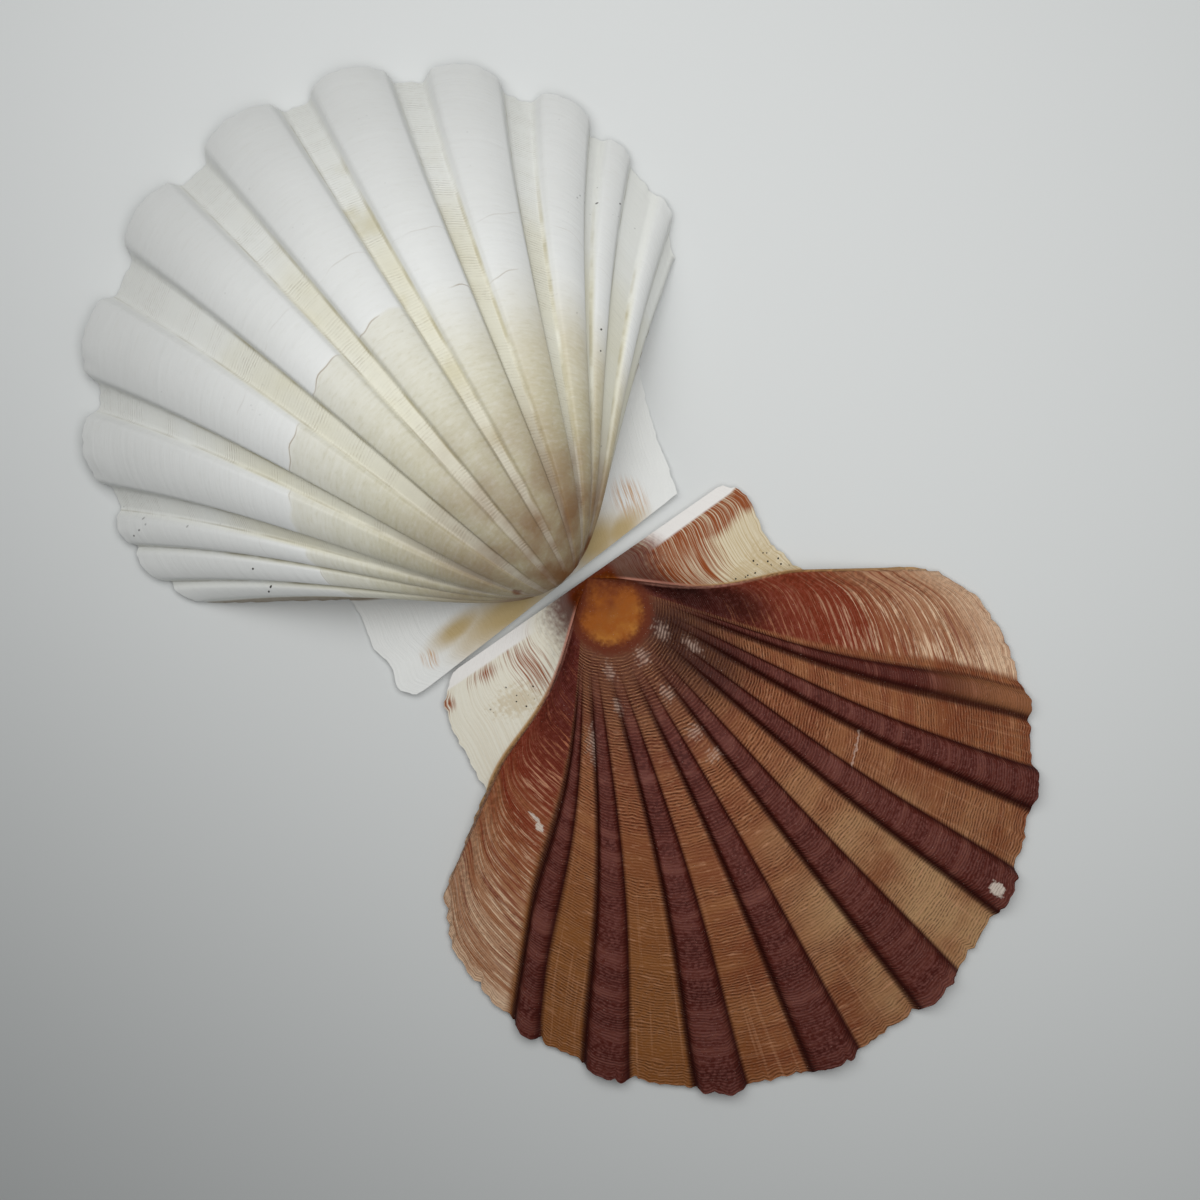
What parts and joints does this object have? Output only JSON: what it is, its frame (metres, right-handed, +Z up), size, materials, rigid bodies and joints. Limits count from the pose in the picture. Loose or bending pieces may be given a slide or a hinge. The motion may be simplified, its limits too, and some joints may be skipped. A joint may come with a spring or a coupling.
{
  "type": "scallop shell",
  "caption": "Scallop shell lying open, outsides up and hinge edges side by side: a deep white ribbed valve and a flat reddish brown valve.",
  "frame": {"origin": "on the table under the middle of the pair's bounding box", "axes": "+X along the brown valve's hinge edge, +Y from the brown valve towards the white valve, +Z up"},
  "size_m": [0.0936, 0.1579, 0.0236],
  "materials": {
    "white_shell": "natural shell, smooth and slightly satin, cream towards the beak",
    "brown_shell": "natural shell, satin, dark purplish ribs with tan spaces between"
  },
  "bodies": {
    "root": {"white_valve": "white_shell", "brown_valve": "brown_shell"}
  },
  "joints": []
}
